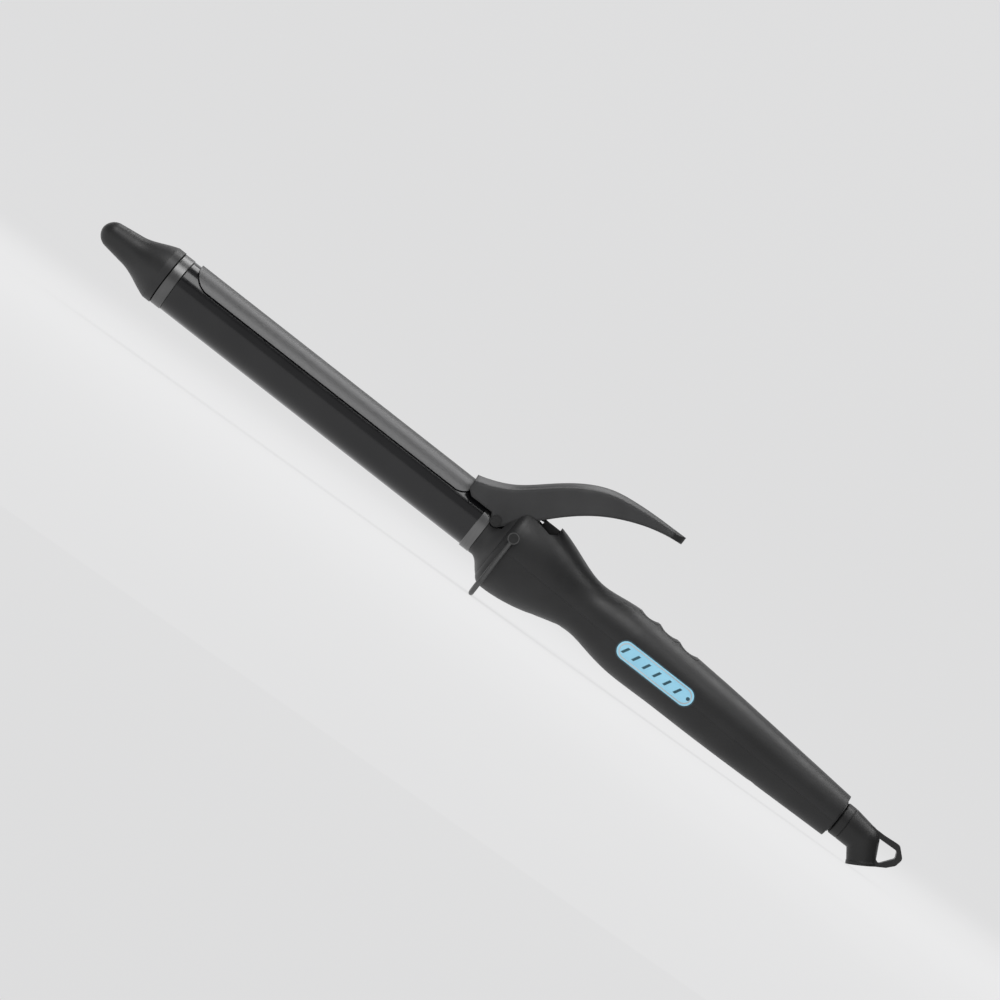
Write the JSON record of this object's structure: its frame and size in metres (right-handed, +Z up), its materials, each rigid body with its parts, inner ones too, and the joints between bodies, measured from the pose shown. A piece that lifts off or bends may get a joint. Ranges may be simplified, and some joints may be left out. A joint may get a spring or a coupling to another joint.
{
  "type": "curling iron",
  "caption": "Spring-clamp curling iron with a round barrel, thumb lever, wire stand, display window and swivel cord elbow, resting on its stand.",
  "frame": {"origin": "bottom centre of the whole tool's box, on the surface that it rests on, between the stand's foot bar and the elbow", "axes": "+X from the cool tip towards the handle's rear (the barrel's axis points 2.4 degrees downwards along it), +Y away from the display window, +Z up, on the lever side"},
  "size_m": [0.443, 0.0506, 0.0749],
  "materials": {
    "tip_plastic": "satin",
    "ring_metal": "satin",
    "barrel_coat": "gloss",
    "blade_coat": "satin",
    "collar_metal": "satin",
    "nose_plastic": "satin",
    "handle_plastic": "matte",
    "lever_plastic": "satin",
    "black_plastic": "gloss",
    "plain_steel": "satin",
    "dark_steel": "satin",
    "white_ceramic": "matte",
    "bare_aluminium": "satin",
    "insulator": "matte",
    "display_window": "gloss",
    "gasket_rubber": "matte",
    "clear_guide": "gloss",
    "circuit_board": "satin",
    "lead_insulation": "matte",
    "contact_brass": "satin",
    "carbon": "matte",
    "button_plastic": "satin",
    "elbow_rubber": "satin"
  },
  "bodies": {
    "handle": {"cool_tip": "tip_plastic", "tip_ring": "ring_metal", "barrel": "barrel_coat", "collar_ring": "collar_metal", "barrel_plug": "insulator", "heater_plate": "white_ceramic", "upper_heat_spreader": "bare_aluminium", "lower_heat_spreader": "bare_aluminium", "spreader_clips": "plain_steel", "temperature_sensor": "white_ceramic", "thermal_fuse": "plain_steel", "heater_leads": "lead_insulation", "sensor_leads": "lead_insulation", "lever_pivot_pins": "dark_steel", "clamp_spring": "plain_steel", "nose_cone": "nose_plastic", "upper_handle_shell": "handle_plastic", "lower_handle_shell": "handle_plastic", "lever_well": "black_plastic", "handle_screws": "dark_steel", "stand_pins": "dark_steel", "display_lens": "display_window", "display_gasket": "gasket_rubber", "light_guide": "clear_guide", "indicator_leds": "clear_guide", "display_board": "circuit_board", "control_board": "circuit_board", "board_screws": "plain_steel", "tactile_switches": "black_plastic", "power_module": "black_plastic", "capacitor": "plain_steel", "controller_chip": "black_plastic", "triac": "black_plastic", "filter_choke": "contact_brass", "end_bushing": "contact_brass", "brush_contacts": "carbon", "brush_holder": "insulator", "mains_leads": "lead_insulation"},
    "clamp": {"clamp_blade": "blade_coat", "thumb_lever": "lever_plastic", "lever_end_cap": "black_plastic", "blade_rivets": "plain_steel"},
    "stand": {"stand_bail": "dark_steel"},
    "power_button": {"power_button": "button_plastic"},
    "plus_button": {"plus_button": "button_plastic"},
    "minus_button": {"minus_button": "button_plastic"},
    "cord_swivel": {"swivel_elbow": "elbow_rubber", "swivel_clip": "plain_steel", "slip_rings": "contact_brass"}
  },
  "joints": [
    {"name": "clamp_hinge", "type": "hinge", "parent": "handle", "child": "clamp", "pos_m": [-0.00788, 0, 0.03263], "axis": [0, 1, 0], "range_deg": [0, 15], "stiffness_Nm_per_rad": 0.6, "springref_deg": -24.06, "deforming": ["clamp_spring"]},
    {"name": "stand_hinge", "type": "hinge", "parent": "handle", "child": "stand", "pos_m": [0.00265, 0, 0.03087], "axis": [0, -1, 0], "range_deg": [0, 31]},
    {"name": "cord_swivel_turn", "type": "hinge", "parent": "handle", "child": "cord_swivel", "pos_m": [0.18992, 0, 0.01449], "axis": [0.9991, 0, -0.0428], "continuous": true},
    {"name": "power_press", "type": "slide", "parent": "handle", "child": "power_button", "axis": [-0.0428, 0, -0.9991], "range_m": [0, 0.0006], "stiffness_N_per_m": 600, "springref_m": -0.0015},
    {"name": "plus_press", "type": "slide", "parent": "handle", "child": "plus_button", "axis": [-0.0428, 0, -0.9991], "range_m": [0, 0.0006], "stiffness_N_per_m": 600, "springref_m": -0.0015},
    {"name": "minus_press", "type": "slide", "parent": "handle", "child": "minus_button", "axis": [-0.0428, 0, -0.9991], "range_m": [0, 0.0006], "stiffness_N_per_m": 600, "springref_m": -0.0015}
  ]
}
